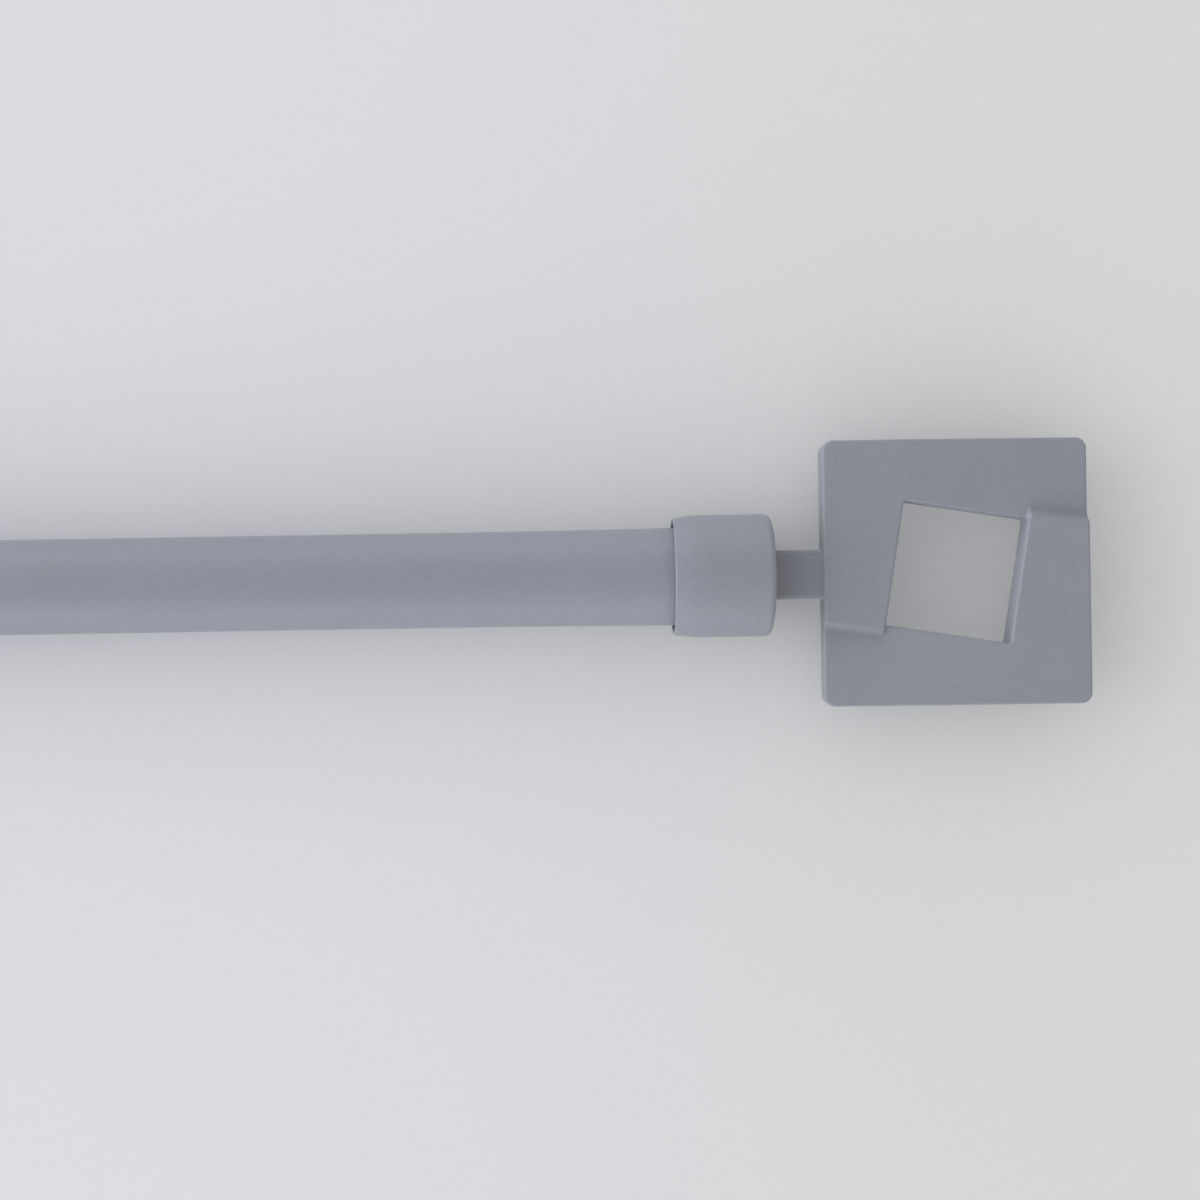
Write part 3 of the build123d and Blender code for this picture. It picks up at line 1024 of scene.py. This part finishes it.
    def spigot_profile(self) -> tuple[list[ProfilePoint], list[float]]:
        """Draws the threaded spigot.

        Returns:
            The closed profile, with a point for each row of its thread, and each point's share of the thread.
        """
        sizes, tip, crest = self.sizes, self.spigot_tip, self.sizes.spigot_radius
        start, base = sizes.collar_face - self.thread_start, sizes.collar_face + self.spigot_depth
        rows = np.arange(start, tip + self.spigot_chamfer, -sizes.thread_pitch / THREAD_ROWS)
        profile = [(base, self.spigot_pole), (base, crest), (start + self.thread_lead, crest)]
        profile += [(x, crest) for x in rows]
        profile += [(tip, crest - self.spigot_chamfer), (tip, self.spigot_pole)]
        fading = [min(1.0, (start - x) / sizes.thread_pitch + self.thread_least) for x in rows]
        return profile, [0.0, 0.0, 0.0, *fading, 0.0, 0.0]

    def build(self) -> None:
        """Builds the casting's plate, tang and spigot and hands them over."""
        body = f"{self.side.word}_finial"

        def role(word: str, surface: Surface) -> Role:
            """Gives the role of one part of the casting."""
            return Role(f"{body}_{word}", surface, body, f"{body}_plate")

        rows = self.plate_rows() + np.array([self.centre, 0.0, 0.0])
        self.skin(role("casting", Surface.FINIAL_PAINT), rows, mark=self.mark_painted_shade)
        self.skin(role("tang", Surface.TANG_PAINT), self.tang_rows(), capped=True)
        profile, marks = self.spigot_profile()
        thread = {"thread_pitch": self.sizes.thread_pitch, "thread_depth": self.sizes.thread_depth}
        spigot = role("spigot", Surface.ZINC_PLATE)
        self.turn(spigot, profile, segments=self.spigot_segments, marks=marks, **thread)


@dataclass
class MouthBush(Assembly):
    """The plastic bush in the larger tube's mouth, whose thin flange covers the cut edge."""

    length: float = 20.0
    flange: float = 1.2
    flange_radius: float = 9.4
    flange_round: float = 0.4
    round_steps: int = 6
    slide_gap: float = 0.08
    lead_in: float = 0.25

    @property
    def start(self) -> float:
        """Gives the place on the axis that x is measured from: the larger tube's mouth."""
        return self.sizes.tube_end - self.sizes.outer.length

    def build(self) -> None:
        """Turns the bush, with its sleeve inside the tube and its flange outside, and hands it over."""
        sizes = self.sizes
        bore, lead_in = sizes.inner.radius + self.slide_gap, self.flange - self.lead_in
        sleeve = sizes.outer.radius - sizes.wall - sizes.seat_gap
        nose = (self.flange - self.flange_round, self.flange_radius - self.flange_round)
        profile = [(-self.length, bore), (lead_in, bore), (self.flange, bore + self.lead_in)]
        profile += arc(nose, self.flange_round, 0, 90, self.round_steps)
        profile += [(0.0, self.flange_radius), (0.0, sleeve), (-self.length, sleeve)]
        self.turn(Role("mouth_bush_sleeve", Surface.GREY_NYLON, "outer_tube", "mouth_bush"), profile)


@dataclass
class TubeFittings(Assembly):
    """What a tube's end holds: the ribbed plug, the nut trapped in it and the washer on its flange."""

    plug_length: float = 38.0
    flange: float = 1.5
    flange_inset: float = 0.25
    flange_break: float = 0.3
    end_wall: float = 4.0
    core_wall: float = 0.9
    rib_count: int = 8
    rib_width: float = 1.8
    rib_start: float = 1.0
    rib_nose: float = 2.5
    rib_nose_drop: float = 0.35
    rib_steps: int = 24
    slot_wall: float = 0.004
    half_flats: float = 5.0
    nut_thickness: float = 5.0
    nut_lead_in: float = 0.5
    bevel_steps: int = 5
    pocket_gap: float = 0.1
    pocket_flare: float = 0.2
    pocket_flare_depth: float = 0.3
    thread_gap: float = 0.05
    washer_radius: float = 6.0
    washer_thickness: float = 1.6
    washer_break: float = 0.15
    columns: int = 192

    @property
    def seat(self) -> float:
        """Gives where the nut's pocket ends against the plug's end wall."""
        return self.flange - self.end_wall

    def angles(self) -> np.ndarray:
        """Gives even angles for a loop's points."""
        return np.linspace(0, math.tau, self.columns, endpoint=False)

    def plug_rows(self) -> np.ndarray:
        """Stacks the plug's loops: flange, ribbed body that follows the tube's spread, pocket and hole.

        Returns:
            The loops, from the flange's face round to the hole's edge.
        """
        sizes, tail, tube = self.sizes, -self.plug_length, self.sizes.tube(self.side)
        core = (self.half_flats + self.pocket_gap) / math.cos(HALF_SIDE) + self.core_wall
        body = tube.radius - sizes.wall - sizes.seat_gap
        pitch = math.tau / self.rib_count
        slot_half = core * math.sin(pitch / 2) - self.rib_width / 2
        edge = math.asin(slot_half / ((core + body) / 2))
        offsets = [side * edge + step for side in (-1, 1) for step in (-self.slot_wall, self.slot_wall)]
        walls = [rib * pitch + offset for rib in range(self.rib_count) for offset in offsets]
        angles = np.unique(np.concatenate([self.angles(), np.array(walls) % math.tau]))
        from_slot = (angles + pitch / 2) % pitch - pitch / 2
        in_slot = np.abs(from_slot) < edge

        def outside(x: float) -> float:
            """Gives the radius that fits the tube's bore."""
            return body + sizes.spread * max(0.0, 1 + x / tube.spread_length)

        def ribbed(x: float, drop: float = 0.0) -> Loop:
            """Gives the ribs' loop, with the ribs lowered by a drop."""
            full = outside(x) - drop
            return x, np.where(in_slot, np.minimum(core / np.cos(from_slot), full), full)

        rim, cut = tube.radius + sizes.spread - self.flange_inset, self.flange_break
        pocket = hexagon(self.half_flats + self.pocket_gap, angles)
        rows: list[Loop] = [(self.flange, rim - cut), (self.flange - cut, rim), (0.0, rim)]
        rows += [(x, outside(x)) for x in (0.0, -self.rib_start)]
        rows += [ribbed(x) for x in np.linspace(-self.rib_start, tail + self.rib_nose, self.rib_steps)]
        rows += [ribbed(tail, self.rib_nose_drop), (tail, pocket + self.pocket_flare)]
        rows += [(tail + self.pocket_flare_depth, pocket), (self.seat, pocket)]
        rows += [(self.seat, sizes.stud_hole), (self.flange, sizes.stud_hole)]
        return np.stack([ring(x, radius, angles) for x, radius in rows])

    def nut_rows(self) -> np.ndarray:
        """Stacks the nut's loops: the bevelled hexagon, then the thread, in step with the spigot's.

        Returns:
            The loops, from one face over the flats to the other and back through the thread.
        """
        sizes, angles, pitch = self.sizes, self.angles(), self.sizes.thread_pitch
        flats, corner = hexagon(self.half_flats, angles), self.half_flats / math.cos(HALF_SIDE)
        bevel = (corner - self.half_flats) * math.tan(HALF_SIDE)
        start, end = self.seat, self.seat - self.nut_thickness
        shares = np.linspace(0.0, 1.0, self.bevel_steps)
        caps = [np.minimum(flats, self.half_flats + (corner - self.half_flats) * share) for share in shares]
        rows = [ring(start - bevel * share, cap, angles) for share, cap in zip(shares, caps)]
        rows += [ring(end + bevel * share, cap, angles) for share, cap in zip(shares[::-1], caps[::-1])]
        crest = sizes.spigot_radius + self.thread_gap
        for x in np.linspace(end, start, round(self.nut_thickness / pitch * THREAD_ROWS) + 1):
            phase = (x / pitch - angles / math.tau) % 1.0
            root = np.clip(THREAD_FLANK * np.abs(2 * phase - 1) - THREAD_CREST, 0.0, 1.0)
            lead_in = crest + self.nut_lead_in - min(x - end, start - x)
            rows.append(ring(x, np.maximum(crest - sizes.thread_depth * root, lead_in), angles))
        return np.stack(rows)

    def build(self) -> None:
        """Builds the plug, the nut and the washer and hands them over."""
        word, tube, zinc = self.side.word, self.side.tube, Surface.ZINC_PLATE
        self.skin(Role(f"{word}_plug_moulding", Surface.BLACK_NYLON, tube, f"{word}_plug"), self.plug_rows())
        self.skin(Role(f"{word}_nut_threaded", zinc, tube, f"{word}_nut"), self.nut_rows())
        face = self.flange + self.washer_thickness
        washer = bevelled(self.flange, face, self.sizes.stud_hole, self.washer_radius, self.washer_break)
        self.turn(Role(f"{word}_washer_stamped", zinc, f"{word}_collar", f"{word}_washer"), washer)


@dataclass
class HiddenEnd(Assembly):
    """The plug in the inner tube's hidden end and the split ring that it carries."""

    plug_length: float = 15.0
    plug_bore: float = 4.5
    shoulder: float = 1.5
    journal_radius: float = 6.5
    journal_length: float = 6.0
    head_radius: float = 7.9
    head_length: float = 1.5
    head_chamfer: float = 0.8
    edge_break: float = 0.25
    ring_gap: float = 0.05
    ring_chamfer: float = 0.4
    ring_slot: float = 1.5
    ring_steps: int = 180

    @property
    def start(self) -> float:
        """Gives the place on the axis that x is measured from: the inner tube's hidden end."""
        return self.sizes.inner.length - self.sizes.tube_end

    def plug_profile(self) -> list[ProfilePoint]:
        """Draws the section of the plug.

        Returns:
            The closed profile: the bore, the head, the journal, the shoulder and the spigot in the tube.
        """
        tail, bore, rim, head = -self.plug_length, self.plug_bore, self.sizes.inner.radius, self.head_radius
        spigot = rim - self.sizes.wall - self.sizes.seat_gap
        journal_end = self.shoulder + self.journal_length
        end, cut = journal_end + self.head_length, self.edge_break
        points = [(tail, bore + cut), (tail + cut, bore), (end - cut, bore), (end, bore + cut)]
        points += [(end, head - self.head_chamfer), (end - self.head_chamfer, head), (journal_end, head)]
        points += [(journal_end, self.journal_radius), (self.shoulder, self.journal_radius)]
        points += [(self.shoulder, rim), (0.0, rim), (0.0, spigot)]
        return [*points, (tail + 2 * cut, spigot), (tail, spigot - cut)]

    def ring_rows(self) -> np.ndarray:
        """Stacks the ring's sections round the axis.

        Returns:
            The sections, from one side of the ring's slot to the other.
        """
        inside = self.journal_radius + self.ring_gap
        outside = self.sizes.outer.radius - self.sizes.wall - self.ring_gap
        start, cut = self.shoulder + self.ring_gap, self.ring_chamfer
        end = start + self.journal_length - 2 * self.ring_gap
        section = [(start, inside), (start, outside - cut), (start + cut, outside)]
        section += [(end - cut, outside), (end, outside - cut), (end, inside)]
        half_slot = math.asin(self.ring_slot / (inside + outside))
        angles = RIGHT_ANGLE + np.linspace(half_slot, math.tau - half_slot, self.ring_steps)
        return np.stack([ring(x, radius, angles) for x, radius in section], axis=1)

    def build(self) -> None:
        """Builds the plug and the ring and hands them over."""
        plug = Role("inner_end_plug_moulding", Surface.BLACK_NYLON, "inner_tube", "inner_end_plug")
        self.turn(plug, self.plug_profile())
        band = Role("friction_ring_split", Surface.WHITE_NYLON, "friction_ring", "friction_ring")
        self.skin(band, self.ring_rows(), capped=True)


@dataclass
class Studio:
    """A pale table under broad soft daylight, and a camera straight above one end of the rod.

    The table's sizes and the camera's place and lens are millimetres. The lamp's sizes and the camera's two
    limits are metres.
    """

    # The table's colour drifts from cooler and lighter at the left to warmer and darker at the right: painted
    # light, standing in for daylight that is bluer from the left.
    table_finish: Finish = Finish(
        "table",
        (0.77, 0.776, 0.808),
        0.55,
        tone_drift=0.02,
        grain_size=1.2,
        grain_height=0.002,
        cloud_size=60.0,
        far_colour=(0.735, 0.733, 0.733),
        drift_from=250.0,
        drift_to=520.0,
        both_ways=False,
    )
    table_z: float = -12.2
    table_size: float = 30000.0
    focal_length: float = 39.0
    sensor: float = 36.0
    near_limit: float = 0.01
    far_limit: float = 50.0
    camera_place: tuple[float, float, float] = (380.85, -4.43, 260.5)
    camera_turn: float = -0.94
    sky_colour: Colour = (0.985, 0.99, 1.0)
    zenith: float = 0.5
    horizon: float = 1.84
    lean_left: float = 0.6
    lean_near: float = 0.05
    lamp_place: tuple[float, float, float] = (-1.6, -0.1, 1.0)
    lamp_target: tuple[float, float, float] = (0.3, 0.0, 0.0)
    lamp_size: float = 1.0
    lamp_watts: float = 3.8

    def table(self, spray: Spray) -> None:
        """Lays the table under the rod.

        Args:
            spray: The shared shader group.
        """
        half, z = self.table_size / 2 * MM, self.table_z * MM
        mesh = bpy.data.meshes.new("table")
        ways = ((-1, -1), (1, -1), (1, 1), (-1, 1))
        mesh.from_pydata([(x * half, y * half, z) for x, y in ways], [], [(0, 1, 2, 3)])
        add_piece("table", mesh, self.table_finish.material(spray))

    def daylight(self) -> None:
        """Sets the sky: dimmer overhead, where the photographer stands, and brighter towards one side."""
        world = bpy.data.worlds.new("daylight")
        bpy.context.scene.world = world
        world.use_nodes = True
        world.node_tree.nodes.clear()
        sheet = NodeSheet(world.node_tree)
        generated = sheet.node("ShaderNodeTexCoord").outputs["Generated"]
        way = sheet.node("ShaderNodeSeparateXYZ", {0: generated}).outputs
        level = sheet.ramp(way["Z"], 0.0, 1.0, self.horizon, self.zenith)
        left = sheet.sum("MULTIPLY", way["X"], -self.lean_left)
        lean = sheet.sum("MULTIPLY_ADD", way["Y"], -self.lean_near, left)
        strength = sheet.sum("MULTIPLY", level, sheet.sum("ADD", lean, 1.0))
        sky = sheet.node("ShaderNodeBackground", {"Color": (*self.sky_colour, 1.0), "Strength": strength})
        sheet.node("ShaderNodeOutputWorld", {"Surface": sky.outputs[0]})

    def lamp(self) -> None:
        """Hangs a square softbox that faces the finial."""
        data = bpy.data.lights.new("left_light", "AREA")
        data.shape, data.size, data.energy = "SQUARE", self.lamp_size, self.lamp_watts
        lamp = add_object("left_light", data)
        lamp.location = self.lamp_place
        way = Vector(self.lamp_target) - Vector(self.lamp_place)
        lamp.rotation_euler = way.to_track_quat("-Z", "Y").to_euler()

    def camera(self) -> None:
        """Hangs the scene's camera over the right finial, looking straight down."""
        data = bpy.data.cameras.new("overhead")
        data.lens, data.sensor_width, data.sensor_fit = self.focal_length, self.sensor, "HORIZONTAL"
        data.clip_start, data.clip_end = self.near_limit, self.far_limit
        camera = add_object("overhead", data)
        camera.location = Vector(self.camera_place) * MM
        camera.rotation_euler = (0.0, 0.0, math.radians(self.camera_turn))
        bpy.context.scene.camera = camera

    def build(self, spray: Spray) -> None:
        """Sets up the table, the light, the camera and the view.

        Args:
            spray: The shared shader group.
        """
        self.table(spray)
        self.daylight()
        self.lamp()
        self.camera()
        bpy.context.scene.view_settings.view_transform = "Standard"


def main() -> None:
    """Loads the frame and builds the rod's sub-assemblies in order."""
    logging.basicConfig(level=logging.INFO, format="%(name)s: %(message)s")
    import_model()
    spray = Spray()
    shop = Workshop(RodSizes(), Lathe(), {surface: surface.value.material(spray) for surface in Surface})
    for side in Side:
        for assembly in (RolledTube, Collar, Finial, TubeFittings):
            assembly(shop, side).build()
    MouthBush(shop, Side.LEFT).build()
    HiddenEnd(shop, Side.RIGHT).build()
    Studio().build(spray)


if __name__ == "__main__":
    main()
